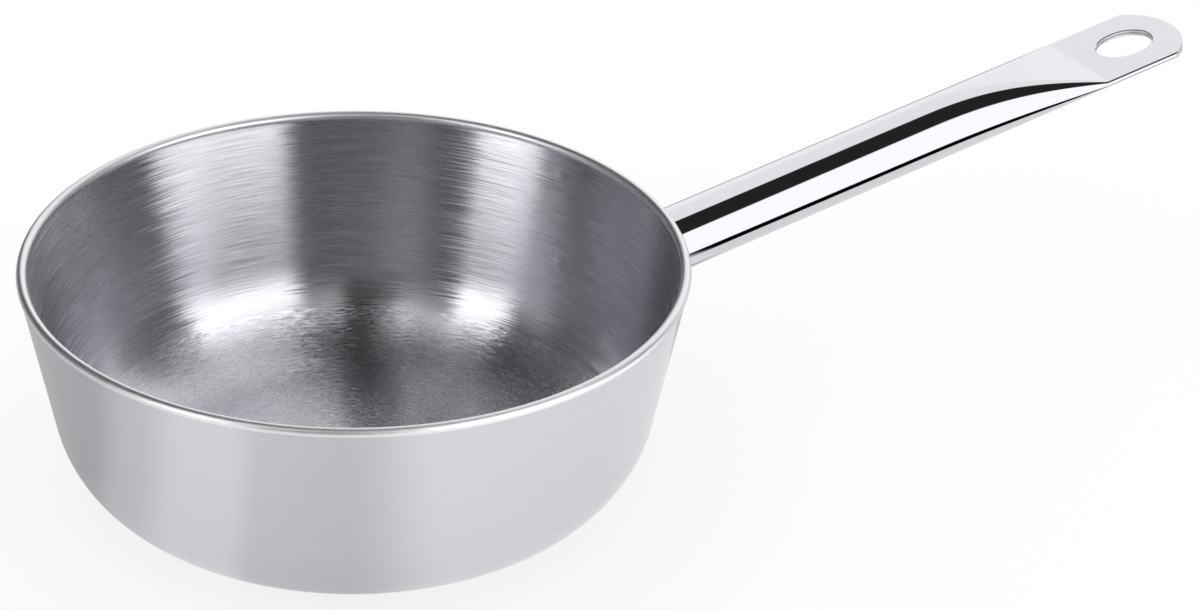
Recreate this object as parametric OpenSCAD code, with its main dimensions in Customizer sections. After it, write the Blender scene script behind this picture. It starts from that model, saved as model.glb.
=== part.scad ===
// Saucier pan: a bowl of clad sheet with leaning walls, and a long tube handle
// that is pressed flat at its free end and hangs from a slot.
// Millimetres. The origin is on the bowl's axis at the underside of the base.
// The handle points along +X and +Z is up.

/* [Bowl] */
// Outside diameter over the rim bead
rim_d = 200; // [180:1:220]
// Height from the underside of the base to the top of the rim
bowl_h = 75; // [70:1:85]
// Lean of the wall away from upright, in degrees
wall_angle = 11.6; // [8:0.2:15]
// Outside radius of the round corner between base and wall
corner_r = 34.5; // [28:0.5:38]

/* [Clad sheet] */
// Thickness of the outer steel sheet
outer_t = 0.6; // [0.4:0.1:0.8]
// Thickness of the aluminium layer between the steel sheets
core_t = 1.4; // [1:0.1:2]
// Thickness of the inner steel sheet
inner_t = 0.6; // [0.4:0.1:0.8]
// How far the rim bead stands proud of the wall outside
bead_out = 0.3; // [0.1:0.05:0.5]
// How far the rim bead stands proud of the wall inside
bead_in = 0.15; // [0.05:0.05:0.3]

/* [Handle tube] */
// Outside diameter of the tube
tube_d = 20.4; // [18:0.2:23]
// Wall thickness of the tube
tube_t = 1; // [0.8:0.1:1.3]
// Length along the tube's axis, from the bowl's wall to the tip
handle_l = 217; // [190:1:250]
// Climb of the handle away from the bowl, in degrees
handle_rise = 7.8; // [5:0.2:11]
// Depth below the rim at which the tube's axis meets the wall
handle_drop = 26.7; // [25:0.1:29]
// Length over which the round tube flattens
taper_l = 66; // [50:1:80]

/* [Handle paddle] */
// Width of the flat paddle
paddle_w = 32.8; // [30:0.2:36]
// Length of the flat paddle, from its crease to the tip
paddle_l = 38.5; // [35:0.5:45]
// Gap left between the two pressed layers
seam_gap = 0.2; // [0.1:0.05:0.4]
// How much the tip's arc is blunter than a half circle, in radius
tip_blunt = 1.6; // [0.4:0.2:4]
// Length of the hanging slot, end to end
slot_l = 20.4; // [17:0.2:22]
// Width of the hanging slot
slot_w = 14.8; // [10:0.2:16]
// Distance from the tip to the middle of the slot
slot_from_tip = 19.3; // [17:0.1:22]

/* [Handle bracket] */
// Thickness of the bracket's plate
plate_t = 1.5; // [1.2:0.1:2]
// Width of the plate at its upper edge
plate_top_w = 70; // [68:1:76]
// Width of the plate at its lower edge
plate_low_w = 60; // [58:1:66]
// Gap between the rim bead and the plate's upper edge
plate_below_bead = 0.4; // [0.2:0.1:1]
// Height of the plate
plate_h = 40.5; // [39:0.5:43]
// Radius of the plate's corners
plate_corner_r = 6; // [3:0.5:8]
// Width of the shoulder that the tube's end stands on, beyond the tube
shoulder_w = 1.8; // [1.4:0.1:2.4]
// Least height of the shoulder above the plate
shoulder_rise = 1.4; // [0.8:0.1:2.5]
// Widening of the boss towards the plate, per length
boss_flare = 0.25; // [0.15:0.05:0.35]
// Length of the spigot inside the tube
spigot_l = 10; // [6:1:16]
// Thickness of the spigot
spigot_t = 1.2; // [1:0.1:1.6]
// Clearance between the spigot and the tube
spigot_clear = 0.1; // [0.05:0.05:0.3]

/* [Welds] */
// Diameter of a spot weld
spot_d = 5.2; // [4:0.2:7]
// Sideways distance between the two upper spot welds
spot_top_w = 60; // [56:1:62]
// Sideways distance between the two lower spot welds
spot_low_w = 48; // [46:1:52]
// Distance from the plate's upper edge down to the upper spot welds
spot_edge = 5; // [4:0.5:7]
// Height between the upper and the lower spot welds
spot_pitch = 27; // [24:0.5:29]
// Depth of the dent that each spot weld leaves inside the bowl
dent_depth = 0.25; // [0.1:0.05:0.35]
// Size of the weld seam round the tube's end
seam_size = 1.5; // [1:0.1:1.8]

/* [Hidden] */
$fn = 128;

tube_sides = 40;
taper_steps = 16;
cut_over = 1;

sheet_t = outer_t + core_t + inner_t;
bead_r = (bead_out + sheet_t / cos(wall_angle) + bead_in) / 2;
bead_x = rim_d / 2 - bead_r;
bead_z = bowl_h - bead_r;
corner_x = wall_r(corner_r) - corner_r / cos(wall_angle);

root_z = bowl_h - handle_drop;
root_x = wall_r(root_z);
crease_at = handle_l - paddle_l;
taper_from = crease_at - taper_l;
slot_at = handle_l - slot_from_tip;
paddle_t = 2 * tube_t + seam_gap;
tip_r = paddle_w / 2 + tip_blunt;

shoulder_r = tube_d / 2 + shoulder_w;
wall_to_tube = wall_angle + handle_rise;
shoulder_at = shoulder_r * tan(wall_to_tube) + plate_t / cos(wall_to_tube) + shoulder_rise;
boss_from = -shoulder_r;
spigot_r = tube_d / 2 - tube_t - spigot_clear;

plate_top_z = bead_z - bead_r - plate_below_bead;
plate_low_z = plate_top_z - plate_h;
spot_top_z = plate_top_z - spot_edge;
spot_low_z = spot_top_z - spot_pitch;
dent_r = (pow(spot_d / 2, 2) + pow(dent_depth, 2)) / (2 * dent_depth);

// Radius of the wall's outside face at height z
function wall_r(z) = rim_d / 2 - bead_out - (bead_z - z) * tan(wall_angle);

// Half the bowl's section, from its axis out to a face that lies d inside the outside face
module bowl_half(d) {
    reach = corner_r - d;
    polygon([
        [0, d],
        [corner_x, d],
        [corner_x + reach * cos(wall_angle), corner_r - reach * sin(wall_angle)],
        [wall_r(bead_z) - d / cos(wall_angle), bead_z],
        [0, bead_z]
    ]);
    translate([corner_x, corner_r])
        intersection() {
            circle(r = reach);
            translate([0, -reach]) square(reach);
        }
}

// Section of one layer of the sheet, between two depths
module layer_half(from_d, to_d) {
    difference() {
        bowl_half(from_d);
        bowl_half(to_d);
    }
}

module rim_bead_half() {
    translate([bead_x, bead_z]) circle(r = bead_r);
}

// Places children on the wall at a spot weld, with +X out along the wall's normal
module at_spot(side, z, width) {
    rotate([0, 0, side * asin(width / 2 / wall_r(z))])
        translate([wall_r(z), 0, z])
            rotate([0, wall_angle, 0])
                children();
}

module at_each_spot() {
    for (side = [-1, 1]) {
        at_spot(side, spot_top_z, spot_top_w) children();
        at_spot(side, spot_low_z, spot_low_w) children();
    }
}

// A plug at each spot weld, long enough to pass through the sheets
module spot_plugs() {
    at_each_spot()
        rotate([0, 90, 0])
            cylinder(d = spot_d, h = 2 * (sheet_t + plate_t), center = true);
}

// Places children where the handle's axis meets the wall, with +X along the handle
module at_handle() {
    translate([root_x, 0, root_z])
        rotate([0, -handle_rise, 0])
            children();
}

// Inner sheet, rolled over the edge of the other two layers as the rim bead
module inner_sheet() {
    color([0.74, 0.74, 0.76])
    difference() {
        rotate_extrude() {
            layer_half(outer_t + core_t, sheet_t);
            rim_bead_half();
        }
        at_each_spot()
            translate([dent_depth - sheet_t - dent_r, 0, 0])
                sphere(r = dent_r);
    }
}

module aluminium_core() {
    color([0.82, 0.83, 0.84])
    rotate_extrude()
        difference() {
            layer_half(outer_t, outer_t + core_t);
            rim_bead_half();
        }
}

module outer_sheet() {
    color([0.68, 0.69, 0.72])
    difference() {
        rotate_extrude()
            difference() {
                layer_half(0, outer_t);
                rim_bead_half();
            }
        spot_plugs();
    }
}

// Outline of the bracket's plate, seen along the handle
module plate_outline() {
    r = plate_corner_r;
    top_y = plate_top_w / 2 - r;
    low_y = plate_low_w / 2 - r;
    top_z = plate_top_z - r;
    low_z = plate_low_z + r;
    lean = atan((top_y - low_y) / (top_z - low_z));
    polygon([
        [top_y, top_z + r],
        [top_y + r * cos(lean), top_z - r * sin(lean)],
        [low_y + r * cos(lean), low_z - r * sin(lean)],
        [low_y, low_z - r],
        [-low_y, low_z - r],
        [-low_y - r * cos(lean), low_z - r * sin(lean)],
        [-top_y - r * cos(lean), top_z - r * sin(lean)],
        [-top_y, top_z + r]
    ]);
    for (side = [-1, 1]) {
        translate([side * top_y, top_z]) circle(r = r);
        translate([side * low_y, low_z]) circle(r = r);
    }
}

// Cone along the handle that flares towards the bowl, its wall moved in by inset
module boss_cone(inset) {
    end_r = shoulder_r - inset;
    end_at = shoulder_at - inset;
    at_handle()
        translate([boss_from, 0, 0])
            rotate([0, 90, 0])
                cylinder(r1 = end_r + (end_at - boss_from) * boss_flare, r2 = end_r, h = end_at - boss_from);
}

// Plate that lies on the wall, with a hollow boss and a spigot for the tube
module handle_bracket() {
    color([0.66, 0.67, 0.7])
    difference() {
        union() {
            intersection() {
                rotate_extrude() layer_half(-plate_t, 0);
                rotate([90, 0, 90]) linear_extrude(height = rim_d) plate_outline();
            }
            boss_cone(0);
            at_handle()
                rotate([0, 90, 0])
                    cylinder(r = spigot_r, h = shoulder_at + spigot_l);
        }
        rotate_extrude() bowl_half(0);
        boss_cone(plate_t);
        at_handle()
            rotate([0, 90, 0])
                cylinder(r = spigot_r - spigot_t, h = shoulder_at + spigot_l + cut_over);
        spot_plugs();
    }
}

// Height of the tube's section at a distance along the handle
function tube_high(at) =
    at <= taper_from ? tube_d
    : at >= crease_at ? paddle_t
    : paddle_t + (tube_d - paddle_t) * cos(90 * (at - taper_from) / taper_l);

// Width of the section, which grows as the tube is pressed flat
function tube_wide(at) =
    tube_d + (paddle_w - tube_d) * (tube_d - tube_high(at)) / (tube_d - paddle_t);

// One ring of points: a flat-sided round section with its wall moved in by inset
function tube_ring(at, inset) = [
    for (i = [0 : tube_sides - 1])
        let (a = (i + 0.5) * 360 / tube_sides, flat = (tube_wide(at) - tube_high(at)) / 2)
            [at, sign(cos(a)) * flat + (tube_high(at) / 2 - inset) * cos(a), (tube_high(at) / 2 - inset) * sin(a)]
];

// Solid along the handle through rings at each station
module tube_loft(from_at, to_at, inset) {
    stations = concat(
        [from_at],
        [for (i = [0 : taper_steps]) taper_from + i * taper_l / taper_steps],
        [to_at]
    );
    rings = [for (at = stations) tube_ring(at, inset)];
    last = len(stations) - 1;
    n = tube_sides;
    sides = [
        for (k = [0 : last - 1], i = [0 : n - 1])
            let (a = k * n + i, b = k * n + (i + 1) % n)
                each [[a, a + n, b], [b, a + n, b + n]]
    ];
    first_cap = [for (i = [0 : n - 1]) i];
    last_cap = [for (i = [n - 1 : -1 : 0]) last * n + i];
    polyhedron(points = [for (ring = rings) each ring], faces = concat([first_cap], sides, [last_cap]));
}

// Tube that starts square on the bracket's shoulder and ends as a two-layer paddle
module handle_tube() {
    color([0.86, 0.86, 0.88])
    at_handle()
        intersection() {
            difference() {
                tube_loft(shoulder_at, handle_l + cut_over, 0);
                tube_loft(shoulder_at - cut_over, handle_l + 2 * cut_over, tube_t);
                hanging_slot();
            }
            tip_outline();
        }
}

module hanging_slot() {
    straight = slot_l - slot_w;
    for (side = [-1, 1])
        translate([slot_at + side * straight / 2, 0, 0])
            cylinder(d = slot_w, h = tube_d, center = true);
    translate([slot_at, 0, 0])
        cube([straight, slot_w, tube_d], center = true);
}

// Prism seen from above: everything up to the tip's blunt arc
module tip_outline() {
    arc_at = handle_l - tip_r;
    linear_extrude(height = 2 * tube_d, center = true) {
        translate([arc_at, 0]) circle(r = tip_r);
        translate([0, -tip_r]) square([arc_at, 2 * tip_r]);
    }
}

// Round seam in the corner between the tube's end and the bracket's shoulder
module handle_weld_seam() {
    color([0.6, 0.58, 0.55])
    at_handle()
        translate([shoulder_at, 0, 0])
            rotate([0, 90, 0])
                rotate_extrude()
                    translate([tube_d / 2, 0])
                        intersection() {
                            circle(r = seam_size);
                            square(seam_size);
                        }
}

module spot_welds() {
    color([0.6, 0.6, 0.62])
    intersection() {
        spot_plugs();
        rotate_extrude() layer_half(-plate_t, outer_t);
    }
}

inner_sheet();
aluminium_core();
outer_sheet();
handle_bracket();
handle_tube();
handle_weld_seam();
spot_welds();
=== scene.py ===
import math

import bmesh
import bpy
from mathutils import Matrix, Vector


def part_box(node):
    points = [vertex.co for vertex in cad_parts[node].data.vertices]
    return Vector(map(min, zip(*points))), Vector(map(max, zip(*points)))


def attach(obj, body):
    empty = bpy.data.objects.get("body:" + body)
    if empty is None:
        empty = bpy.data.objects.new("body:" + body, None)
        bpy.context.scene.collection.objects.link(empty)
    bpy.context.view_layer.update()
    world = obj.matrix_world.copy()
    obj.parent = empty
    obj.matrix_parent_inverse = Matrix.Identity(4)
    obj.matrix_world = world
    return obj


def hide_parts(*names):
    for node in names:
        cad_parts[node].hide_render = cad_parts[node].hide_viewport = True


print("loading the packed pan")
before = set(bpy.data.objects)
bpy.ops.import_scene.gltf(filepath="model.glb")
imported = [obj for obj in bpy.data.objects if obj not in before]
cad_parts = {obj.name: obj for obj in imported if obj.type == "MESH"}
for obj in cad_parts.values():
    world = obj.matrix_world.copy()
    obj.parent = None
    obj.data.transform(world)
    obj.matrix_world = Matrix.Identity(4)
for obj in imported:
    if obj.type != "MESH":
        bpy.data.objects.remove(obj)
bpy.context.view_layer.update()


# One value in a node tree. Arithmetic on it adds Math nodes, and node() adds any other kind.
class Wire:
    def __init__(self, tree, socket=None):
        self.tree = tree
        self.socket = socket

    def node(self, kind, settings=None, inputs=None, output=0):
        made = self.tree.nodes.new(kind)
        for name, value in (settings or {}).items():
            setattr(made, name, value)
        for key, value in (inputs or {}).items():
            if isinstance(value, Wire):
                self.tree.links.new(value.socket, made.inputs[key])
            else:
                made.inputs[key].default_value = value
        return Wire(self.tree, made.outputs[output] if len(made.outputs) else None)

    def math(self, operation, *others, first=None):
        values = [self if first is None else first, *others]
        return self.node("ShaderNodeMath", {"operation": operation}, dict(enumerate(values)))

    def __add__(self, other):
        return self.math("ADD", other)

    def __radd__(self, other):
        return self.math("ADD", other)

    def __sub__(self, other):
        return self.math("SUBTRACT", other)

    def __rsub__(self, other):
        return self.math("SUBTRACT", self, first=other)

    def __mul__(self, other):
        return self.math("MULTIPLY", other)

    def __rmul__(self, other):
        return self.math("MULTIPLY", other)

    def __truediv__(self, other):
        return self.math("DIVIDE", other)

    def clamped(self):
        return self.math("MINIMUM", 1.0).math("MAXIMUM", 0.0)

    def arcCosine(self):
        return self.math("MINIMUM", 1.0).math("MAXIMUM", -1.0).math("ARCCOSINE")

    def between(self, low, high):
        smooth = {"interpolation_type": "SMOOTHSTEP"}
        return self.node("ShaderNodeMapRange", smooth, {0: self, 1: low, 2: high})


# The Mix node keeps its colours in inputs 6 and 7 and in output 2
def mixColour(factor, first, second):
    four = [value if isinstance(value, Wire) else (*value, 1.0) for value in (first, second)]
    return factor.node("ShaderNodeMix", {"data_type": "RGBA"}, {0: factor, 6: four[0], 7: four[1]}, 2)


def vectorOf(x, y, z):
    wires = [value for value in (x, y, z) if isinstance(value, Wire)]
    return wires[0].node("ShaderNodeCombineXYZ", None, {0: x, 1: y, 2: z})


def splitVector(vector):
    made = vector.node("ShaderNodeSeparateXYZ", None, {0: vector})
    outputs = made.socket.node.outputs
    return [Wire(vector.tree, outputs[axis]) for axis in range(3)]


def noise(vector, scale, detail=2.0, roughness=0.5):
    values = {"Vector": vector, "Scale": scale, "Detail": detail, "Roughness": roughness}
    return vector.node("ShaderNodeTexNoise", None, values)


# The way from the z axis, never quite 0, so that it can divide
def axisDistance(x, y):
    return (x * x + y * y).math("SQRT").math("MAXIMUM", 1e-5)


def lightPath(start, output):
    return start.node("ShaderNodeLightPath", output=output)


# The place from a texture's own coordinates, whole and split
def ownPlace(start):
    place = start.node("ShaderNodeTexCoord", output="Object")
    return place, *splitVector(place)


# The camera and the room

view = {
    "location": (-0.58376, -1.02093, 0.71234),
    "through": (0.08499, -0.0037, 0.0375),
    "roll": math.radians(1.43),
    "lens": 135.0,
    "sensor": 36.0,
    "clip": (0.01, 50.0),
}


def addCamera():
    data = bpy.data.cameras.new("photoCamera")
    data.lens, data.sensor_width = view["lens"], view["sensor"]
    data.clip_start, data.clip_end = view["clip"]
    camera = bpy.data.objects.new("photoCamera", data)
    look = Vector(view["through"]) - Vector(view["location"])
    turned = look.to_track_quat("-Z", "Y").to_matrix().to_4x4() @ Matrix.Rotation(view["roll"], 4, "Z")
    camera.matrix_world = Matrix.Translation(view["location"]) @ turned
    bpy.context.scene.collection.objects.link(camera)
    bpy.context.scene.camera = camera


room = {
    "ambient": 1.05,  # world level that lights the floor
    "dark": 0.02,  # what the metal sees between the light panels
    "panels": [  # azimuth, half width, top and edge softness in degrees, then level
        (289.0, 26.0, 38.5, 4.0, 1.28),
        (184.0, 12.0, 40.5, 2.0, 2.8),
        (345.0, 30.0, 50.0, 14.0, 0.08),
        (125.0, 24.0, 50.0, 12.0, 0.07),
    ],
    "fade": 0.6,  # how much light is lost where the metal reflects itself
    "fadeDepth": 2.5,  # that is, in light paths of more than two reflections
    "backEdge": (0.025, 0.065),  # how far past overhead the white backdrop begins
    "backLevel": (1.08, 1.0),  # low down and higher up
    "backTurn": (26.0, 38.0),  # the elevations between which it changes
    "backSide": (0.22, 0.29),  # and lies to the handle's side
}
table = {
    "half": 4.0,
    "white": 0.78,  # the share of the table's own white, against what the light gives it
    "albedo": 0.97,
    # Levels of painted light and shade that only the metal sees on the table, sector by sector round the pan
    "steps": [  # azimuth round the pan and the level there
        (160.0, 0.54),
        (178.0, 0.74),
        (196.0, 0.94),
        (208.0, 0.94),
        (217.0, 0.79),
        (238.0, 0.75),
        (262.0, 1.0),
        (330.0, 0.95),
    ],
    # The table glows with its painted light in what the metal sees, though it is no lamp
    "glow": 0.62,  # the share of its own light in what the metal sees of it
    "byHandle": (0.145, 0.165),  # where the strips along the handle begin
    "handleSide": (0.06, 0.02),  # and how far they reach to its other side
    # A painted dark strip on the table beside the handle, which only the metal sees and the handle reflects
    # as a thin dark line
    "paintedDarkStrip": (-0.082, -0.0455),
    "stripSoft": (0.004, 0.001),  # how soft its far and its near edge are
    # Painted shade on the table below the handle, as the metal sees it
    "paintedShadeUnderHandle": 0.86,
    # Painted light, brighter than white, on the table beyond the dark strip, as the metal sees it
    "paintedLightBeyondStrip": 1.27,
}


# Less light once the metal reflects itself
def fading(start, fade):
    return 1.0 - lightPath(start, "Ray Depth").math("GREATER_THAN", room["fadeDepth"]) * fade


def addRoom():
    world = bpy.data.worlds.new("studio")
    bpy.context.scene.world = world
    world.use_nodes = True
    world.node_tree.nodes.clear()
    start = Wire(world.node_tree)
    x, y, z = splitVector(start.node("ShaderNodeTexCoord", output="Generated"))
    flat = axisDistance(x, y)
    elevation = z.math("ARCSINE") * math.degrees(1)
    low, high = room["backLevel"]
    backdrop = elevation.between(*room["backTurn"]) * (high - low) + (low - room["dark"])
    level = y.between(*room["backEdge"]) * x.between(*room["backSide"]) * backdrop + room["dark"]
    for azimuth, halfWidth, top, soft, strength in room["panels"]:
        angle = math.radians(azimuth)
        off = ((x * math.cos(angle) + y * math.sin(angle)) / flat).arcCosine() * math.degrees(1)
        inside = off.between(halfWidth + soft / 2, halfWidth - soft / 2)
        inside = inside * elevation.between(top + soft / 2, top - soft / 2)
        level = level.math("MAXIMUM", inside * strength)
    byCamera = lightPath(start, "Is Camera Ray")
    byMetal = lightPath(start, "Is Glossy Ray").math("MAXIMUM", lightPath(start, "Is Transmission Ray"))
    level = level * fading(start, room["fade"])
    strength = byCamera + byMetal * level + (1.0 - byCamera - byMetal).clamped() * room["ambient"]
    background = start.node("ShaderNodeBackground", None, {0: (1.0, 1.0, 1.0, 1.0), 1: strength})
    start.node("ShaderNodeOutputWorld", None, {0: background})


# What the metal sees of the table, as painted light and shade: soft sectors of painted light round the pan,
# and painted strips along the handle
def paintedTableLight(start):
    place, x, y, z = ownPlace(start)
    azimuth = y.math("ARCTAN2", x) * math.degrees(1)
    azimuth = azimuth + azimuth.math("LESS_THAN", 0.0) * 360.0
    level = table["steps"][0][1]
    for (first, low), (last, high) in zip(table["steps"], table["steps"][1:]):
        level = level + azimuth.between(first, last) * (high - low)
    # A painted dark strip, with painted shade below the handle and painted light beyond the strip
    far, near = table["paintedDarkStrip"]
    farSoft, nearSoft = table["stripSoft"]
    strip = y.between(near - nearSoft, near + nearSoft) * table["paintedShadeUnderHandle"]
    strip = strip + y.between(far, far - farSoft) * table["paintedLightBeyondStrip"]
    beside = x.between(*table["byHandle"]) * y.between(*table["handleSide"])
    return level + beside * (strip - level)


# Soft boxes that light the cooking surface alone: a tall one, and others higher up
bowlLights = {
    "away": 1.5,  # from the bowl's axis, in metres
    "boxes": [  # azimuth, half width in degrees, foot and top in metres, level, then fading
        (291.5, 25.0, 0.0, 1.5, 1.3, 0.6),
        (293.0, 47.0, 1.5, 3.2, 0.8, 0.0),
        (197.0, 21.5, 1.5, 3.0, 1.1, 0.0),
        (216.0, 11.0, 2.3, 3.6, 0.9, 0.6),
    ],
}


def addBowlLights(receiver):
    receivers = bpy.data.collections.new("bowlLightReceivers")
    receivers.objects.link(receiver)
    for azimuth, halfWidth, foot, top, level, fade in bowlLights["boxes"]:
        away, turn = bowlLights["away"], math.radians(azimuth)
        wide, tall = 2 * away * math.tan(math.radians(halfWidth)), top - foot
        data = bpy.data.lights.new("bowlLight", "AREA")
        data.shape, data.size, data.size_y = "RECTANGLE", wide, tall
        data.energy = level * math.pi * wide * tall
        data.use_nodes = True
        data.node_tree.nodes.clear()
        start = Wire(data.node_tree)
        glow = start.node("ShaderNodeEmission", None, {1: fading(start, fade)})
        start.node("ShaderNodeOutputLight", None, {0: glow})
        lamp = bpy.data.objects.new("bowlLight", data)
        lamp.location = (away * math.cos(turn), away * math.sin(turn), (foot + top) / 2)
        lamp.rotation_euler = (math.pi / 2, 0.0, turn + math.pi / 2)
        lamp.visible_camera = False
        lamp.visible_diffuse = False
        bpy.context.scene.collection.objects.link(lamp)
        lamp.light_linking.receiver_collection = receivers


def addFloor():
    half = table["half"]
    mesh = bpy.data.meshes.new("floor")
    corners = [(-half, -half, 0.0), (half, -half, 0.0), (half, half, 0.0), (-half, half, 0.0)]
    mesh.from_pydata(corners, [], [(0, 1, 2, 3)])
    floor = bpy.data.objects.new("floor", mesh)
    bpy.context.scene.collection.objects.link(floor)
    material, start = newMaterial("paleFloor")
    byMetal = lightPath(start, "Is Glossy Ray")
    level = 1.0 + byMetal * (paintedTableLight(start) - 1.0)
    colour = vectorOf(level, level, level)
    lit = start.node("ShaderNodeBsdfDiffuse", None, {0: (table["albedo"],) * 3 + (1.0,)})
    white = start.node("ShaderNodeEmission", None, {0: (1.0, 1.0, 1.0, 1.0), 1: 1.0})
    seen = start.node("ShaderNodeMixShader", None, {0: table["white"], 1: lit, 2: white})
    # What the metal sees of the table: its painted light and shade, lit in part and glowing in part
    litLess = start.node("ShaderNodeBsdfDiffuse", None, {0: colour})
    own = start.node("ShaderNodeEmission", None, {0: colour, 1: 1.0})
    paintedTableInMetal = start.node("ShaderNodeMixShader", None, {0: table["glow"], 1: litLess, 2: own})
    finishMaterial(start, start.node("ShaderNodeMixShader", None, {0: byMetal, 1: seen, 2: paintedTableInMetal}))
    mesh.materials.append(material)


# Materials

steel = {
    "inside": (0.82, 0.815, 0.86),
    # The bottom is a lighter copy of the inside steel: painted light that brightens the bottom
    "bottom": (0.90, 0.893, 0.955),
    "rim": (0.88, 0.88, 0.91),
    "outside": (0.685, 0.68, 0.73),
    "handle": (0.752, 0.748, 0.782),
    "bracket": (0.64, 0.64, 0.67),
    "weld": (0.52, 0.50, 0.48),
    "weldTint": (0.46, 0.37, 0.26),
    "core": (0.80, 0.81, 0.82),
}


# The cooking surface's brushing. Each set of grooves has how often a groove changes round the bowl, its width
# in metres and its detail, then its share in the colour and in the lean along and across the grooves.
brushings = {
    "brushedInside": {  # long even grooves on the wall
        "colour": "inside",
        "shades": (0.74, 1.16),
        "rough": (0.26, 0.06),
        "cloud": (34.0, 0.03),
        "grooves": [
            (5.0, 0.00022, 1.0, 1.7, 0.10, 0.18),
            (3.4, 0.00038, 3.0, 1.4, 0.12, 0.08),
            (1.8, 0.00100, 3.0, 0.4, 0.04, 0.0),
            (6.0, 0.00011, 0.0, 0.0, 0.0, 0.25),
        ],
    },
    "brushedBottom": {  # shorter, rougher strokes on the bottom
        "colour": "bottom",
        "shades": (0.92, 1.08),
        "rough": (0.27, 0.06),
        "cloud": None,
        "grooves": [
            (26.0, 0.00042, 2.0, 1.2, 0.24, 0.5),
            (9.0, 0.00070, 3.0, 0.8, 0.06, 0.25),
            (12.0, 0.00012, 0.0, 0.0, 0.0, 0.6),
        ],
    },
}
# The other finishes. A pattern is its scale or its grooves as above; rough is a level and how far it spreads.
finish = {
    "rim": {"grooves": (9.0, 0.00020), "shades": (0.93, 1.03), "rough": (0.36, 0.12)},
    "outside": {
        "fine": (8.0, 0.00022),
        "broad": (2.0, 0.0016),
        "mix": (0.5, 0.4),
        "shades": (0.94, 1.05),
        "specks": (520.0, 0.74, 0.80),  # scale, and the noise where a speck begins and is full
        "speckShare": 0.35,
        "speckShade": 0.7,
        "rough": (0.17, 0.05),
        "cloud": (26.0, 0.04),
        "bump": (0.6, 0.4, 0.15),  # the shares of fine and broad grooves, then the strength
        "stretch": 0.55,
    },
    "handle": {
        "hair": (60.0, 1800.0),  # along the tube and across it
        "smudge": (45.0, 0.45, 0.75),
        "slant": (300.0, 500.0, 900.0, 3200.0, 1500.0),  # scales that draw scratches aslant over the tube
        "scratch": (0.70, 0.76),
        "shades": (0.985, 1.0),
        "rough": (0.025, 0.01),
        "smudged": 0.02,
        "scratched": 0.06,
    },
    "ground": {"grain": 1500.0, "shades": (0.84, 0.96), "rough": (0.36, 0.1)},
    "bracket": {
        "grain": (900.0, 70.0, 2600.0),
        "cloud": (60.0, 0.06),
        "shades": (0.90, 1.08),
        "rough": (0.24, 0.12),
        "bump": 0.15,
    },
    "weld": {"cloud": (260.0, 0.35, 0.7), "grit": 2400.0, "rough": (0.36, 0.2), "bump": 0.3},
    "core": {"grooves": (4.0, 0.0005), "shades": (0.92, 1.04), "rough": (0.34, 0.1)},
}
quarterTurn = 0.25  # sets stretched highlights across the grooves
grooveDepth = 0.00001


def newMaterial(name):
    material = bpy.data.materials.new(name)
    material.use_nodes = True
    material.node_tree.nodes.clear()
    return material, Wire(material.node_tree)


def finishMaterial(start, surface):
    start.node("ShaderNodeOutputMaterial", None, {0: surface})


def metal(start, colour, roughness, normal=None, stretch=0.0):
    inputs = {"Base Color": colour, "Roughness": roughness, "Metallic": 1.0, "Anisotropic": stretch}
    inputs["Anisotropic Rotation"] = quarterTurn
    if normal is not None:
        inputs["Normal"] = normal
    return start.node("ShaderNodeBsdfPrincipled", None, inputs)


def shade(colour, share):
    return tuple(channel * share for channel in colour)


# A steel's colour, from its darker to its lighter shade
def toned(factor, colour, shades):
    return mixColour(factor, shade(steel[colour], shades[0]), shade(steel[colour], shades[1]))


def bump(height, strength, distance):
    return height.node("ShaderNodeBump", None, {"Height": height, "Strength": strength, "Distance": distance})


# Where a point lies on the turned bowl: its direction round the axis, and its way out and up from the middle
def turnedPlace(start):
    place, x, y, z = ownPlace(start)
    radius = axisDistance(x, y)
    return place, x / radius, y / radius, radius + z


# Grooves that run round the axis: long on the round, a fraction of a millimetre across
def grooves(cosine, sine, way, length, width, detail=3.0):
    return noise(vectorOf(cosine * length, sine * length, way / width), 1.0, detail, 0.6)


# The surface's own normal, leaning a little along the grooves and across them, from one groove to the next
def combed(start, cosine, sine, along, across):
    own = start.node("ShaderNodeNewGeometry", output="Normal")
    lean = vectorOf(cosine * across - sine * along, sine * across + cosine * along, 0.0)
    moved = own.node("ShaderNodeVectorMath", {"operation": "ADD"}, {0: own, 1: lean})
    return own.node("ShaderNodeVectorMath", {"operation": "NORMALIZE"}, {0: moved})


def clouds(place, scale, spread):
    return (noise(place, scale, 3.0) - 0.5) * spread


def brushed(name):
    values = brushings[name]
    material, start = newMaterial(name)
    place, cosine, sine, way = turnedPlace(start)
    streak = along = across = 0.0
    for length, width, detail, inColour, inAlong, inAcross in values["grooves"]:
        groove = grooves(cosine, sine, way, length, width, detail) - 0.5
        streak = streak + groove * inColour
        along = along + groove * inAlong
        across = across + groove * inAcross
    colour = toned((streak + 0.5).clamped(), values["colour"], values["shades"])
    level, spread = values["rough"]
    rough = level + streak * spread
    if values["cloud"]:
        rough = rough + clouds(place, *values["cloud"])
    finishMaterial(start, metal(start, colour, rough, combed(start, cosine, sine, along, across), 1.0))
    return material


def turnedSteel(name, colour):
    values = finish[colour]
    material, start = newMaterial(name)
    place, cosine, sine, way = turnedPlace(start)
    fine = grooves(cosine, sine, way, *values["grooves"])
    level, spread = values["rough"]
    finishMaterial(start, metal(start, toned(fine, colour, values["shades"]), level + fine * spread))
    return material


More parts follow.
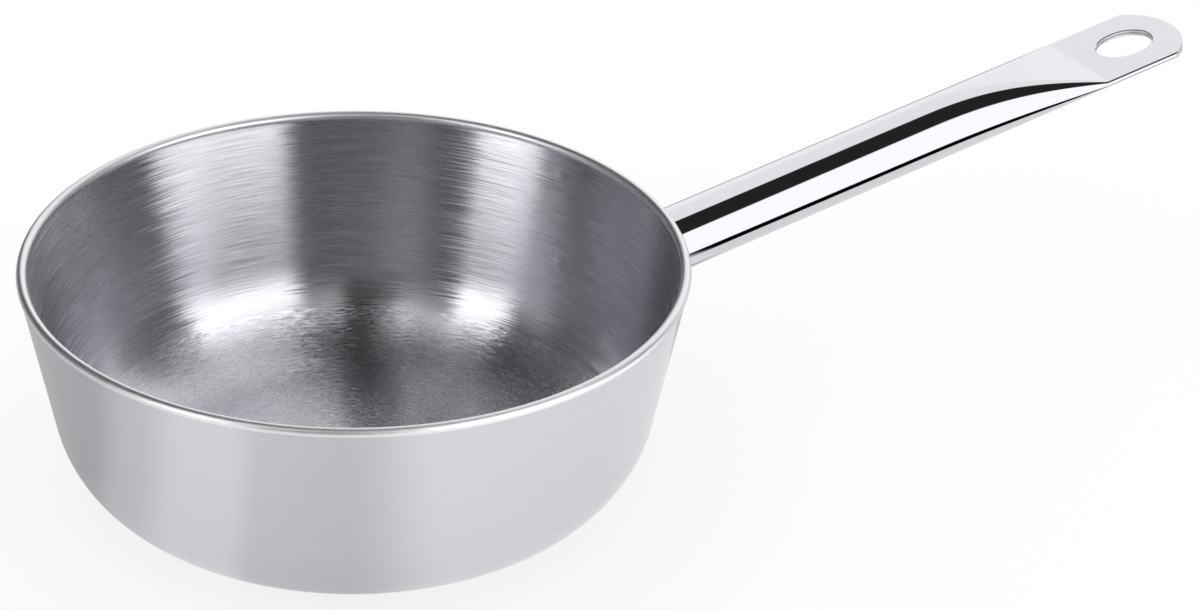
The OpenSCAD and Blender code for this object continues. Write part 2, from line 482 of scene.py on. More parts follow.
def satinOutside():
    values = finish["outside"]
    material, start = newMaterial("satinOutside")
    place, cosine, sine, way = turnedPlace(start)
    fine = grooves(cosine, sine, way, *values["fine"])
    broad = grooves(cosine, sine, way, *values["broad"])
    streak = (fine - 0.5) * values["mix"][0] + (broad - 0.5) * values["mix"][1]
    scale, low, high = values["specks"]
    specks = noise(place, scale, 1.0).between(low, high)
    colour = toned((streak + 0.5).clamped(), "outside", values["shades"])
    colour = mixColour(specks * values["speckShare"], colour, shade(steel["outside"], values["speckShade"]))
    level, spread = values["rough"]
    rough = level + streak * spread + clouds(place, *values["cloud"])
    inFine, inBroad, strength = values["bump"]
    normal = bump(fine * inFine + broad * inBroad, strength, grooveDepth)
    finishMaterial(start, metal(start, colour, rough, normal, values["stretch"]))
    return material


def polishedHandle():
    values = finish["handle"]
    material, start = newMaterial("polishedHandle")
    place, x, y, z = ownPlace(start)
    along, across = values["hair"]
    hair = noise(vectorOf(x * along, y * across, z * across), 1.0, 2.0, 0.6)
    scale, low, high = values["smudge"]
    smudge = noise(place, scale, 4.0, 0.55).between(low, high)
    xByX, xByY, yByX, yByY, zByZ = values["slant"]
    slanted = vectorOf(x * xByX + y * xByY, y * yByY - x * yByX, z * zByZ)
    scratch = noise(slanted, 1.0, 1.0).between(*values["scratch"])
    level, spread = values["rough"]
    rough = level + smudge * values["smudged"] + scratch * values["scratched"] + (hair - 0.5) * spread
    finishMaterial(start, metal(start, toned(hair, "handle", values["shades"]), rough))
    return material


# The slot's cut wall is ground and not polished
def groundEdge():
    values = finish["ground"]
    material, start = newMaterial("groundEdge")
    place = ownPlace(start)[0]
    grain = noise(place, values["grain"])
    level, spread = values["rough"]
    finishMaterial(start, metal(start, toned(grain, "handle", values["shades"]), level + grain * spread))
    return material


def bracketSteel():
    values = finish["bracket"]
    material, start = newMaterial("bracketSteel")
    place, x, y, z = ownPlace(start)
    along, across, up = values["grain"]
    grain = noise(vectorOf(x * along, y * across, z * up), 1.0, 3.0, 0.6)
    level, spread = values["rough"]
    rough = level + (grain - 0.5) * spread + clouds(place, *values["cloud"])
    colour = toned(grain, "bracket", values["shades"])
    finishMaterial(start, metal(start, colour, rough, bump(grain, values["bump"], grooveDepth)))
    return material


def weldMetal():
    values = finish["weld"]
    material, start = newMaterial("weldMetal")
    place = ownPlace(start)[0]
    scale, low, high = values["cloud"]
    cloud = noise(place, scale, 3.0).between(low, high)
    grit = noise(place, values["grit"])
    colour = mixColour(cloud, steel["weld"], steel["weldTint"])
    level, spread = values["rough"]
    rough = level + (grit - 0.5) * spread
    finishMaterial(start, metal(start, colour, rough, bump(grit, values["bump"], 3 * grooveDepth)))
    return material


# The bowl: the sizes of part.scad, in metres

bowl = {
    "wallAngle": math.radians(11.6),
    "cornerRadius": 0.0345,
    "outerSheet": 0.0006,
    "core": 0.0014,
    "innerSheet": 0.0006,
    "beadOut": 0.0003,
    "beadIn": 0.00015,
    "spotWidths": (0.060, 0.048),  # sideways distances of the upper and the lower spot welds
    "spotHeights": (0.0665, 0.0395),
    "dentRadius": 0.0029,
    "dentDepth": 0.00006,
    "onFace": 0.0001,  # a point this near to the inner face belongs to it
    "beadFacet": 0.00005,  # how far a facet's middle may lie inside the round bead
    "polishBelow": 0.0004,  # how far below the bead's end its polish reaches
    "brushedTo": 0.0812,  # radius at which the bottom's brushing gives way to the wall's
    "denseHalf": math.radians(23.0),  # the rings are finer round the handle, where the dents are
    "denseStep": math.radians(0.34),
    "openStep": math.radians(0.86),
}
bowlSteps = {  # points along the bottom, the corner and the wall of each face, and round the bead
    "inside": (26, 34, 78),
    "outside": (14, 40, 34),
    "hidden": (3, 12, 6),
    "bead": 26,
    "underBead": 4,
}
sharpFrom = math.radians(28)  # an edge that turns by more is shaded crisp
sameVertex, sameCorner = 1e-7, 2e-6  # points nearer than these are one, in a mesh and in a node tree
bowl["height"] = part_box("inner_sheet")[1].z
bowl["rimRadius"] = min(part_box("inner_sheet")[1].xy)
bowl["sheet"] = bowl["outerSheet"] + bowl["core"] + bowl["innerSheet"]
lean = bowl["wallAngle"]
beadRadius = (bowl["beadOut"] + bowl["sheet"] / math.cos(lean) + bowl["beadIn"]) / 2
beadAt = (bowl["rimRadius"] - beadRadius, bowl["height"] - beadRadius)


def wallRadius(z, depth=0.0):
    return bowl["rimRadius"] - bowl["beadOut"] - (beadAt[1] - z) * math.tan(lean) - depth / math.cos(lean)


cornerAt = (wallRadius(bowl["cornerRadius"]) - bowl["cornerRadius"] / math.cos(lean), bowl["cornerRadius"])


def stepped(first, last, steps):
    return [first + (last - first) * step / steps for step in range(steps + 1)]


def arc(centre, radius, first, last, steps):
    return [
        (centre[0] + radius * math.cos(angle), centre[1] + radius * math.sin(angle))
        for angle in stepped(first, last, steps)
    ]


# The value between two others, found by halving, above which a test holds
def crossing(low, high, past):
    for _ in range(40):
        middle = (low + high) / 2
        low, high = (low, middle) if past(middle) else (middle, high)
    return high


def onBead(angle):
    return beadAt[0] + beadRadius * math.cos(angle), beadAt[1] + beadRadius * math.sin(angle)


# Angle round the bead at which a wall face that lies at a depth runs into it, below the bead's middle
def beadMeets(depth):
    side = 1 if depth < bowl["sheet"] / 2 else -1

    def past(away):
        x, z = onBead(-math.pi / 2 + side * away)
        return (x - wallRadius(z, depth)) * side > 0

    return -math.pi / 2 + side * crossing(0.0, math.pi / 2, past)


# One face of the sheet, as points from the axis out and up to where it meets the bead
def sheetFace(depth, floorSteps, cornerSteps, wallSteps):
    centre, reach = cornerAt, bowl["cornerRadius"] - depth
    top = onBead(beadMeets(depth))
    face = [(radius, depth) for radius in stepped(0.0, centre[0], floorSteps)]
    face += arc(centre, reach, -math.pi / 2, -lean, cornerSteps)[1:]
    foot = face[-1]
    return face + [
        (foot[0] + (top[0] - foot[0]) * share, foot[1] + (top[1] - foot[1]) * share)
        for share in stepped(0.0, 1.0, wallSteps)[1:]
    ]


def ringAngles(fine):
    if not fine:
        count = round(2 * math.pi / bowl["openStep"])
        return [2 * math.pi * step / count for step in range(count)]
    dense = round(2 * bowl["denseHalf"] / bowl["denseStep"])
    openCount = round((2 * math.pi - 2 * bowl["denseHalf"]) / bowl["openStep"])
    angles = stepped(-bowl["denseHalf"], bowl["denseHalf"], dense)
    return angles + stepped(bowl["denseHalf"], 2 * math.pi - bowl["denseHalf"], openCount)[1:-1]


# Turns a section that starts and ends on the axis into a closed shell; move() may shift a point
def turnedShell(name, section, angles, move=None):
    mesh = bpy.data.meshes.new(name)
    points = [(0.0, 0.0, section[0][1])]
    rings = section[1:-1]
    for radius, z in rings:
        for angle in angles:
            r, h = (radius, z) if move is None else move(radius, z, angle)
            points.append((r * math.cos(angle), r * math.sin(angle), h))
    points.append((0.0, 0.0, section[-1][1]))
    count, last = len(angles), len(points) - 1
    faces = []
    for step in range(count):
        after = (step + 1) % count
        faces.append((0, 1 + after, 1 + step))
        for ring in range(len(rings) - 1):
            low, high = 1 + ring * count, 1 + (ring + 1) * count
            faces.append((low + step, low + after, high + after, high + step))
        foot = 1 + (len(rings) - 1) * count
        faces.append((foot + step, foot + after, last))
    mesh.from_pydata(points, [], faces)
    return finishMesh(name, mesh)


# Outward normals, smooth shading with crisp edges, and the object in the scene
def finishMesh(name, mesh, sharp=sharpFrom):
    tidy = bmesh.new()
    tidy.from_mesh(mesh)
    bmesh.ops.remove_doubles(tidy, verts=tidy.verts, dist=sameVertex)
    bmesh.ops.recalc_face_normals(tidy, faces=tidy.faces)
    tidy.to_mesh(mesh)
    tidy.free()
    mesh.shade_smooth()
    mesh.set_sharp_from_angle(angle=sharp)
    piece = bpy.data.objects.new(name, mesh)
    bpy.context.scene.collection.objects.link(piece)
    return piece


def spotPlaces():
    return [
        (side * math.asin(width / 2 / wallRadius(z)), z)
        for width, z in zip(bowl["spotWidths"], bowl["spotHeights"])
        for side in (-1, 1)
    ]


# The shallow dents that the spot welds leave in the cooking surface
def dented(radius, z, angle):
    face = wallRadius(z, bowl["sheet"])
    if abs(radius - face) > bowl["onFace"] or abs(angle) > bowl["denseHalf"]:
        return radius, z
    push = 0.0
    for spotAngle, spotZ in spotPlaces():
        away = math.hypot((angle - spotAngle) * face, (z - spotZ) / math.cos(lean))
        if away < bowl["dentRadius"]:
            push += bowl["dentDepth"] * math.cos(math.pi / 2 * away / bowl["dentRadius"]) ** 2
    return radius + push * math.cos(lean), z - push * math.sin(lean)


def addInnerSheet():
    depth, hidden = bowl["sheet"], bowl["outerSheet"] + bowl["core"]
    inside = sheetFace(depth, *bowlSteps["inside"])
    back = sheetFace(hidden, *bowlSteps["hidden"])
    bead = arc(beadAt, beadRadius, beadMeets(depth) + 2 * math.pi, beadMeets(0.0), bowlSteps["bead"])
    under = arc(beadAt, beadRadius, beadMeets(0.0), beadMeets(hidden), bowlSteps["underBead"])
    section = inside + bead[1:] + under[1:-1] + back[::-1]
    piece = turnedShell("innerSheet", section, ringAngles(True), dented)
    for material in (brushed("brushedInside"), turnedSteel("polishedRim", "rim"), brushed("brushedBottom")):
        piece.data.materials.append(material)
    onRim, onBottom = 1, 2
    polishFrom = onBead(beadMeets(depth))[1] - bowl["polishBelow"]
    for face in piece.data.polygons:
        radius = math.hypot(face.center.x, face.center.y)
        around = math.hypot(radius - beadAt[0], face.center.z - beadAt[1])
        if abs(around - beadRadius) < bowl["beadFacet"] and face.center.z > polishFrom:
            face.material_index = onRim
        elif radius < bowl["brushedTo"] and face.normal.z > 0:
            face.material_index = onBottom
    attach(piece, "root")
    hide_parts("inner_sheet")
    return piece


def addOuterSheet():
    outside = sheetFace(0.0, *bowlSteps["outside"])
    back = sheetFace(bowl["outerSheet"], *bowlSteps["hidden"])
    piece = turnedShell("outerSheet", outside + back[::-1], ringAngles(False))
    piece.data.materials.append(satinOutside())
    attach(piece, "root")
    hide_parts("outer_sheet")


# Where the handle leaves the bowl: sizes that its tube, its bracket and the seam share

joint = {
    "tube": 0.0204,
    "tubeWall": 0.001,
    "rise": math.radians(7.8),
    "drop": 0.0267,
    "plate": 0.0015,
    "shoulderWide": 0.0018,
    "shoulderRise": 0.0014,
}
shoulder = joint["tube"] / 2 + joint["shoulderWide"]
tilt = lean + joint["rise"]
shoulderAt = shoulder * math.tan(tilt) + joint["plate"] / math.cos(tilt) + joint["shoulderRise"]


def handleRoot():
    z = bowl["height"] - joint["drop"]
    return Vector((wallRadius(z), 0.0, z))


# The handle's own directions: along it, and up from its flat
def handleAxes():
    turn = joint["rise"]
    return Vector((math.cos(turn), 0.0, math.sin(turn))), Vector((-math.sin(turn), 0.0, math.cos(turn)))


# The handle tube, made by a node tree from its sizes

handle = {
    "Tube": joint["tube"],
    "Wall": joint["tubeWall"],
    "Start": shoulderAt,
    "Length": 0.217,
    "Taper": 0.066,
    "Press Late": 1.25,  # above 1 the tube stays round for longer
    "Paddle Width": 0.0328,
    "Paddle Length": 0.0385,
    "Seam Gap": 0.0002,
    "Tip Blunt": 0.0016,
    "Slot Length": 0.0204,
    "Slot Width": 0.0148,
    "Slot From Tip": 0.0193,
    "Edge Round": 0.0002,
    "Rise": joint["rise"],
}
rows = {"around": 256, "along": 130, "edge": 12, "slotAround": 128}
rowShares = (0.10, 0.55)  # of the rows along the tube, those before the taper and those on it
endPower = 2 / 3  # below 1 the rounding of the tube's ends is squarer than a circle
slotSteep = math.radians(60)  # a face in the slot that leans this far from the flat is its cut wall


# A round-ended flat section: the point at a share of its way round, its sizes being wires
def roundedFlat(share, wide, high):
    flat = wide - high
    quarter = high * (math.pi / 4)
    whole = flat * 2.0 + quarter * 4.0
    way = share * whole
    half = quarter * 2.0 + flat
    second = way.math("GREATER_THAN", half)
    way = way - second * half
    firstArc = way.math("MINIMUM", quarter)
    onFlat = (way - quarter).math("MAXIMUM", 0.0).math("MINIMUM", flat)
    secondArc = (way - quarter - flat).math("MAXIMUM", 0.0)
    angle = (firstArc + secondArc) / (high / 2.0)
    y = flat / 2.0 - onFlat + high / 2.0 * angle.math("COSINE")
    z = high / 2.0 * angle.math("SINE")
    flip = 1.0 - second * 2.0
    return y * flip, z * flip


# A geometry tree with one named input for each value and one for the material, and wires from its inputs
def treeWithInputs(name, values):
    tree = bpy.data.node_groups.new(name, "GeometryNodeTree")
    for key, value in values.items():
        kind = "NodeSocketInt" if isinstance(value, int) else "NodeSocketFloat"
        tree.interface.new_socket(key, in_out="INPUT", socket_type=kind).default_value = value
    tree.interface.new_socket("Material", in_out="INPUT", socket_type="NodeSocketMaterial")
    tree.interface.new_socket("Geometry", in_out="OUTPUT", socket_type="NodeSocketGeometry")
    return tree, Wire(tree), {name: inputWire(tree, name) for name in values}


def inputWire(tree, name):
    node = next((n for n in tree.nodes if n.bl_idname == "NodeGroupInput"), None)
    node = node or tree.nodes.new("NodeGroupInput")
    return Wire(tree, node.outputs[name])


# A grid of rows by columns with a place for each point, its seam closed
def patch(start, rowCount, columnCount, place):
    grid = start.node("GeometryNodeMeshGrid", None, {0: 1.0, 1: 1.0, 2: rowCount, 3: columnCount})
    x, y, z = splitVector(start.node("GeometryNodeInputPosition"))
    return start.node("GeometryNodeSetPosition", None, {0: grid, 2: place(x + 0.5, y + 0.5)})


# Joins patches along the edges they share
def closedPatch(*parts):
    joined = parts[0].node("GeometryNodeJoinGeometry")
    for part in parts:
        part.tree.links.new(part.socket, joined.socket.node.inputs[0])
    return joined.node("GeometryNodeMergeByDistance", None, {"Geometry": joined, "Distance": sameCorner})


def turnedOver(part):
    return part.node("GeometryNodeFlipFaces", None, {0: part})


def tubeTree():
    tree, start, size = treeWithInputs("handleTube", handle)
    paddle = size["Wall"] * 2.0 + size["Seam Gap"]
    crease = size["Length"] - size["Paddle Length"]
    taperFrom = crease - size["Taper"]
    tipRadius = size["Paddle Width"] / 2.0 + size["Tip Blunt"]
    edge = size["Edge Round"]

    def sectionAt(at, inset, share):
        done = ((at - taperFrom) / size["Taper"]).clamped()
        pressed = done.math("POWER", size["Press Late"]) * (math.pi / 2)
        high = paddle + (size["Tube"] - paddle) * pressed.math("COSINE")
        flattened = (size["Tube"] - high) / (size["Tube"] - paddle)
        wide = size["Tube"] + (size["Paddle Width"] - size["Tube"]) * flattened
        return roundedFlat(share, wide - inset * 2.0, high - inset * 2.0)

    def tipAt(inset, share):
        y, z = roundedFlat(share, size["Paddle Width"] - inset * 2.0, paddle - inset * 2.0)
        return size["Length"] - tipRadius + (tipRadius * tipRadius - y * y).math("SQRT")

    def skin(inset):
        straight, taper = rowShares
        tapered = straight + taper

        def place(along, share):
            end = tipAt(inset, share) - edge
            at = size["Start"] + (along / straight).clamped() * (taperFrom - size["Start"])
            at = at + ((along - straight) / taper).clamped() * size["Taper"]
            at = at + ((along - tapered) / (1.0 - tapered)).clamped() * (end - crease)
            y, z = sectionAt(at, inset, share)
            return vectorOf(at, y, z)

        return patch(start, rows["along"], rows["around"] + 1, place)

    def endStrip(atTip):
        def place(across, share):
            angle = (across - 0.5) * math.pi
            sine, cosine = angle.math("SINE"), angle.math("COSINE").math("MAXIMUM", 0.0)
            half = sine.math("SIGN") * sine.math("ABSOLUTE").math("POWER", endPower)
            inset = size["Wall"] / 2.0 * (1.0 + half)
            at = size["Start"]
            if atTip:
                at = tipAt(inset, share) - edge + edge * cosine.math("POWER", endPower)
            y, z = sectionAt(at, inset, share)
            return vectorOf(at, y, z)

        return patch(start, rows["edge"] + 1, rows["around"] + 1, place)

    # An elliptical plug, wider above and below the paddle, where it rounds the slot's edges
    def slotCutter():
        over, levels = 0.001, 8
        slotAt = size["Length"] - size["Slot From Tip"]

        def place(level, share):
            step = level * (levels - 1.0)
            z = over * (step - 1.0).clamped() + edge * (step - 2.0).clamped()
            z = z + (paddle - edge * 2.0) * (step - 3.0).clamped()
            z = z + edge * (step - 4.0).clamped() + over * (step - 5.0).clamped() - paddle / 2.0 - over
            grown = edge * (1.0 - (step - 2.0).clamped() + (step - 4.0).clamped()) * 2.0
            whole = step.clamped() * (1.0 - (step - 6.0).clamped())
            angle = share * (2.0 * math.pi)
            x = angle.math("COSINE") * (size["Slot Length"] + grown) * whole / 2.0
            y = angle.math("SINE") * (size["Slot Width"] + grown) * whole / 2.0
            return vectorOf(slotAt + x, y, z)

        return turnedOver(closedPatch(patch(start, levels, rows["slotAround"] + 1, place)))

    skins = turnedOver(skin(0.0)), skin(size["Wall"])
    body = closedPatch(*skins, turnedOver(endStrip(True)), endStrip(False))
    exact = {"operation": "DIFFERENCE", "solver": "EXACT"}
    cut = body.node("GeometryNodeMeshBoolean", exact, {"Mesh 1": body})
    tree.links.new(slotCutter().socket, cut.socket.node.inputs["Mesh 2"])
    finishTree(placedOnBowl(cut, size["Rise"]))
    return tree


# Moves what was drawn along X to the wall, and turns it up as the handle rises
def placedOnBowl(geometry, rise):
    values = {"Geometry": geometry, "Translation": handleRoot(), "Rotation": vectorOf(0.0, rise * -1.0, 0.0)}
    return geometry.node("GeometryNodeTransform", None, values)


# Every tree ends in real geometry with its material
def finishTree(geometry):
    tree = geometry.tree
    real = geometry.node("GeometryNodeRealizeInstances", None, {0: geometry})
    values = {"Geometry": real, "Material": inputWire(tree, "Material")}
    coloured = real.node("GeometryNodeSetMaterial", None, values)
    output = tree.nodes.new("NodeGroupOutput")
    tree.links.new(coloured.socket, output.inputs["Geometry"])


# Runs a node tree on an empty piece, with its named inputs, and keeps the result as a plain mesh
def madeByTree(name, tree, values, sharp=sharpFrom):
    holder = bpy.data.objects.new(name + "Maker", bpy.data.meshes.new(name + "Maker"))
    bpy.context.scene.collection.objects.link(holder)
    modifier = holder.modifiers.new("maker", "NODES")
    modifier.node_group = tree
    for item in tree.interface.items_tree:
        if item.in_out == "INPUT" and item.name in values:
            modifier[item.identifier] = values[item.name]
    graph = bpy.context.evaluated_depsgraph_get()
    mesh = bpy.data.meshes.new_from_object(holder.evaluated_get(graph), depsgraph=graph)
    mesh.name = name
    holder.modifiers.remove(modifier)
    bpy.data.objects.remove(holder)
    return finishMesh(name, mesh, sharp)


def addHandleTube():
    piece = madeByTree("handleTube", tubeTree(), {**handle, "Material": polishedHandle()})
    ground = len(piece.data.materials)
    piece.data.materials.append(groundEdge())
    axis, up = handleAxes()
    slotAt = handleRoot() + axis * (handle["Length"] - handle["Slot From Tip"])
    reach = handle["Slot Length"] / 2 + handle["Edge Round"]
    side = handle["Slot Width"] / 2 + handle["Edge Round"]
    for face in piece.data.polygons:
        away = face.center - slotAt
        inSlot = abs(away.dot(axis)) < reach and abs(away.y) < side
        if inSlot and abs(face.normal.dot(up)) < math.cos(slotSteep):
            face.material_index = ground
    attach(piece, "root")
    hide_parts("handle_tube")


# The bracket: a pressed plate on the wall with a hollow boss and a spigot, drawn ray by ray round its boss

bracket = {
    "topWidth": 0.070,
    "lowWidth": 0.060,
    "belowBead": 0.0004,
    "height": 0.0405,
    "corner": 0.006,
    "flare": 0.25,
    "fillet": 0.0032,
    "shoulderRound": 0.0005,
    "edgeRound": 0.0005,
    "spigotLength": 0.010,
    "spigotWall": 0.0012,
    "spigotClear": 0.0001,
    "offWall": 0.00001,  # how far the plate's back stands off the bowl
    "roomForFillet": 0.8,  # the most of a flat or a slope that the fillet takes up
    "sharpFrom": math.radians(40),
    "rays": 288,
}
bracketSteps = {  # points on each stretch of a ray, from the spigot out over the plate and back inside
    "shoulder": 4,
    "curl": 4,
    "cone": 5,
    "fillet": 9,
    "plate": 14,
    "edge": 4,
    "back": 8,
    "inside": 4,
}


# A point at a distance along the handle and a distance from its axis, in the direction of a ray
def roundHandle(along, away, ray):
    axis, up = handleAxes()
    outward = Vector((0.0, 1.0, 0.0)) * math.cos(ray) + up * math.sin(ray)
    return handleRoot() + axis * along + outward * away


# A point on the wall's outside, or raised from it, above a place seen along the handle
def onWall(y, z, raised):
    return Vector((math.sqrt(wallRadius(z, -raised) ** 2 - y * y), y, z))


def raisedBy(point):
    return (math.hypot(point.x, point.y) - wallRadius(point.z)) * math.cos(lean)


def coneRadius(along, inset):
    return shoulder - inset + (shoulderAt - inset - along) * bracket["flare"]


# How far along the handle the boss's cone reaches a height above the wall
def coneMeets(ray, inset, raised):
    def past(along):
        return raisedBy(roundHandle(along, coneRadius(along, inset), ray)) > raised

    return crossing(-shoulder, shoulderAt - inset, past)


# Distance from a ray's start to the plate's outline, which is drawn in by some way
def outlineReach(centreZ, ray, drawnIn):
    corner = bracket["corner"]
    top = bowl["height"] - 2 * beadRadius - bracket["belowBead"]
    topY, topZ = bracket["topWidth"] / 2 - corner, top - corner
    lowY, lowZ = bracket["lowWidth"] / 2 - corner, top - bracket["height"] + corner
    posts = [(topY, topZ), (lowY, lowZ), (-lowY, lowZ), (-topY, topZ)]

    def past(away):
        y, z = away * math.cos(ray), centreZ + away * math.sin(ray)
        return outlineDistance(y, z, posts) > corner - drawnIn

    return crossing(0.0, bracket["topWidth"], past)


def outlineDistance(y, z, posts):
    inside, nearest = True, 1.0
    for (y0, z0), (y1, z1) in zip(posts, posts[1:] + posts[:1]):
        dy, dz = y1 - y0, z1 - z0
        share = max(0.0, min(1.0, ((y - y0) * dy + (z - z0) * dz) / (dy * dy + dz * dz)))
        nearest = min(nearest, math.hypot(y - y0 - dy * share, z - z0 - dz * share))
        inside = inside and dy * (z - z0) - dz * (y - y0) < 0
    return -nearest if inside else nearest


def bracketRay(ray, centreZ):
    wall, off, steps = joint["plate"], bracket["offWall"], bracketSteps
    spigot = joint["tube"] / 2 - joint["tubeWall"] - bracket["spigotClear"]
    tip, curl = shoulderAt + bracket["spigotLength"], bracket["shoulderRound"]

    def onRay(along, away):
        return roundHandle(along, away, ray)

    def onCone(along, inset):
        return onRay(along, coneRadius(along, inset))

    def plate(away, raised):
        return onWall(away * math.cos(ray), centreZ + away * math.sin(ray), raised)

    def reachOf(point):
        return Vector((point.y, point.z - centreZ)).length

    points = [onRay(along, spigot) for along in (tip, shoulderAt)]
    points += [onRay(shoulderAt, away) for away in stepped(spigot, shoulder - curl, steps["shoulder"])[1:]]
    for turn in stepped(0.0, math.pi / 2, steps["curl"])[1:]:
        along = shoulderAt - curl * (1 - math.cos(turn))
        points.append(onRay(along, coneRadius(along, 0.0) - curl * (1 - math.sin(turn))))
    meets = coneMeets(ray, 0.0, wall)
    fillet = min(bracket["fillet"], bracket["roomForFillet"] * (shoulderAt - curl - meets))
    points += [onCone(along, 0.0) for along in stepped(shoulderAt - curl, meets + fillet, steps["cone"])[1:]]
    reach = reachOf(onCone(meets, 0.0))
    edge = outlineReach(centreZ, ray, bracket["edgeRound"])
    outer = outlineReach(centreZ, ray, 0.0)
    flat = min(reach + fillet, reach + bracket["roomForFillet"] * (edge - reach))
    first, middle, last = points[-1], plate(reach, wall), plate(flat, wall)
    for share in stepped(0.0, 1.0, steps["fillet"])[1:]:
        points.append(first * (1 - share) ** 2 + middle * (2 * share * (1 - share)) + last * share ** 2)
    points += [plate(away, wall) for away in stepped(flat, edge, steps["plate"])[1:]]
    for turn in stepped(0.0, math.pi / 2, steps["edge"])[1:]:
        away = edge + (outer - edge) * math.sin(turn)
        points.append(plate(away, wall - bracket["edgeRound"] * (1 - math.cos(turn))))
    points.append(plate(outer, off))
    opens = coneMeets(ray, wall, off)
    points += [plate(away, off) for away in stepped(outer, reachOf(onCone(opens, wall)), steps["back"])[1:-1]]
    points += [onCone(along, wall) for along in stepped(opens, shoulderAt - wall, steps["inside"])]
    return points + [onRay(along, spigot - bracket["spigotWall"]) for along in (shoulderAt - wall, tip)]


# Joins loops of equal length into a ring that is closed both ways
def ringOfLoops(name, loops, sharp):
    mesh = bpy.data.meshes.new(name)
    count, size = len(loops), len(loops[0])
    faces = []
    for loop in range(count):
        near, far = loop * size, (loop + 1) % count * size
        for step in range(size):
            after = (step + 1) % size
            faces.append((near + step, near + after, far + after, far + step))
    mesh.from_pydata([point for loop in loops for point in loop], [], faces)
    return finishMesh(name, mesh, sharp)


def addBracket():
    centreZ = handleRoot().z + joint["plate"] * math.sin(joint["rise"])
    rays = [2 * math.pi * step / bracket["rays"] for step in range(bracket["rays"])]
    piece = ringOfLoops("handleBracket", [bracketRay(ray, centreZ) for ray in rays], bracket["sharpFrom"])
    piece.data.materials.append(bracketSteel())
    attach(piece, "root")
    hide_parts("handle_bracket")


# The weld seam: overlapping scales set round the tube's end

seam = {
    "Tube": joint["tube"],
    "At": shoulderAt,
    "Rise": joint["rise"],
    "Size": 0.0015,
    "Scales": 46,
    "Scale Length": 0.0021,
    "Flatness": 0.62,
    "Proud": 0.30,  # the share of the size by which the scales lie out from the tube and from the shoulder
    "Overlap": 1.6,
}
scaleTip = 0.35  # how far each scale tips over the next, in radians
scaleRows = {"Segments": 16, "Rings": 10}
scaleSharp = math.radians(60)


def seamTree():
    tree, start, size = treeWithInputs("weldSeam", seam)
    proud = size["Size"] * size["Proud"]
    circle = {"Resolution": size["Scales"], "Radius": size["Tube"] / 2.0 + proud}
    ring = start.node("GeometryNodeCurvePrimitiveCircle", None, circle)
    scale = start.node("GeometryNodeMeshUVSphere", None, {**scaleRows, "Radius": 1.0})
    points = ring.node("GeometryNodeCurveToPoints", {"mode": "EVALUATED"}, {"Curve": ring})
    alongRing = Wire(tree, points.socket.node.outputs["Rotation"])
    inPlace = {"rotation_space": "LOCAL"}
    tipped = start.node("FunctionNodeRotateRotation", inPlace, {0: alongRing, 1: (scaleTip, 0.0, 0.0)})
    flat = size["Size"] * size["Flatness"]
    stretch = vectorOf(flat, flat, size["Scale Length"] / size["Overlap"])
    instances = {"Points": points, "Instance": scale, "Rotation": tipped, "Scale": stretch}
    scales = points.node("GeometryNodeInstanceOnPoints", None, instances)
    onEnd = {"Geometry": scales, "Rotation": (0.0, math.pi / 2, 0.0)}
    across = scales.node("GeometryNodeTransform", None, onEnd)
    atEnd = {"Geometry": across, "Translation": vectorOf(size["At"] + proud, 0.0, 0.0)}
    finishTree(placedOnBowl(across.node("GeometryNodeTransform", None, atEnd), size["Rise"]))
    return tree


def addWeldSeam(material):
    piece = madeByTree("handleWeldSeam", seamTree(), {**seam, "Material": material}, scaleSharp)
    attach(piece, "root")
    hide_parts("handle_weld_seam")


# The spot welds: dished buttons on the plate's outer face, two above and two below

spots = {
    "Radius": 0.0026,
    "Proud": 0.00009,
    "Dish": 0.00007,
    "Sunk": 0.0004,
    "Plate": joint["plate"],
    "Top Width": bowl["spotWidths"][0],
    "Low Width": bowl["spotWidths"][1],
    "Top Height": bowl["spotHeights"][0],
    "Low Height": bowl["spotHeights"][1],
    "Lean": lean,
}
buttonRows = {"across": 24, "around": 48}
buttonTurns = (2.0, 4.0, 12.0, 22.0)  # rows at which its foot, its side, its dish and its face end
buttonSharp = math.radians(50)


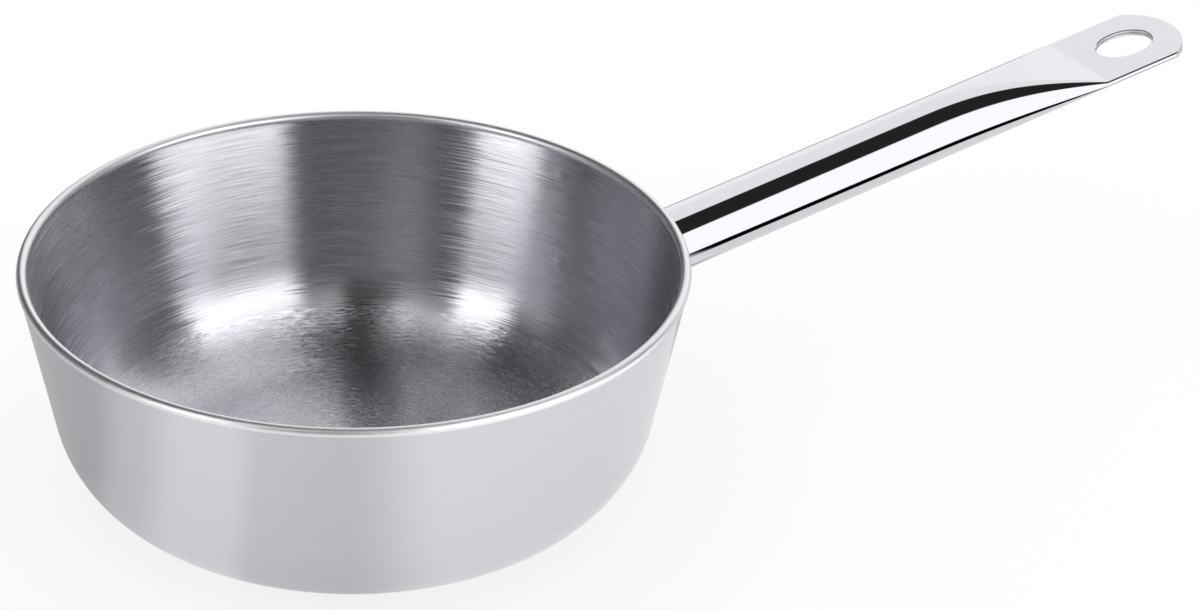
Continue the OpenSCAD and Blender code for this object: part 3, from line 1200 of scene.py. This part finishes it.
def spotTree():
    tree, start, size = treeWithInputs("spotWelds", spots)

    # From the middle of its foot out, up its side and in over its dished face
    def button(along, share):
        row = along * buttonRows["across"]
        foot, side, dish, middle = buttonTurns
        out = size["Radius"] * (row / foot).clamped() * (1.0 - ((row - side) / (middle - side)).clamped())
        up = ((row - foot) / (side - foot)).clamped() * (size["Sunk"] + size["Proud"]) - size["Sunk"]
        inward = ((row - side) / (dish - side)).clamped()
        dished = (1.0 - (inward * math.pi).math("COSINE")) / 2.0 * size["Dish"]
        angle = share * (2.0 * math.pi)
        return vectorOf(out * angle.math("COSINE"), out * angle.math("SINE"), up - dished)

    disc = closedPatch(patch(start, buttonRows["across"] + 1, buttonRows["around"] + 1, button))
    line = start.node("GeometryNodeMeshLine", None, {"Count": 4})
    index = start.node("GeometryNodeInputIndex")
    low = index.math("GREATER_THAN", 1.5)
    side = index.math("MODULO", 2.0) * 2.0 - 1.0
    width = size["Top Width"] + low * (size["Low Width"] - size["Top Width"])
    height = size["Top Height"] + low * (size["Low Height"] - size["Top Height"])
    face = wallRadius(0.0) + height * math.tan(lean)
    azimuth = (width / 2.0 / face).math("ARCSINE") * side
    reach = face + size["Plate"] / math.cos(lean)
    place = vectorOf(reach * azimuth.math("COSINE"), reach * azimuth.math("SINE"), height)
    turned = vectorOf(0.0, math.pi / 2 + size["Lean"], azimuth)
    points = start.node("GeometryNodeSetPosition", None, {0: line, 2: place})
    turn = start.node("FunctionNodeEulerToRotation", None, {0: turned})
    instances = {"Points": points, "Instance": disc, "Rotation": turn}
    finishTree(start.node("GeometryNodeInstanceOnPoints", None, instances))
    return tree


def addSpotWelds(material):
    piece = madeByTree("spotWelds", spotTree(), {**spots, "Material": material}, buttonSharp)
    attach(piece, "root")
    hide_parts("spot_welds")


bpy.context.scene.view_settings.view_transform = "Standard"
addCamera()
addRoom()
addFloor()
print("turning the bowl")
addBowlLights(addInnerSheet())
addOuterSheet()
print("drawing the handle")
addHandleTube()
addBracket()
weld = weldMetal()
addWeldSeam(weld)
addSpotWelds(weld)

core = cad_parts["aluminium_core"]
core.data.materials.clear()
core.data.materials.append(turnedSteel("plainAluminium", "core"))

print("pieces ready")
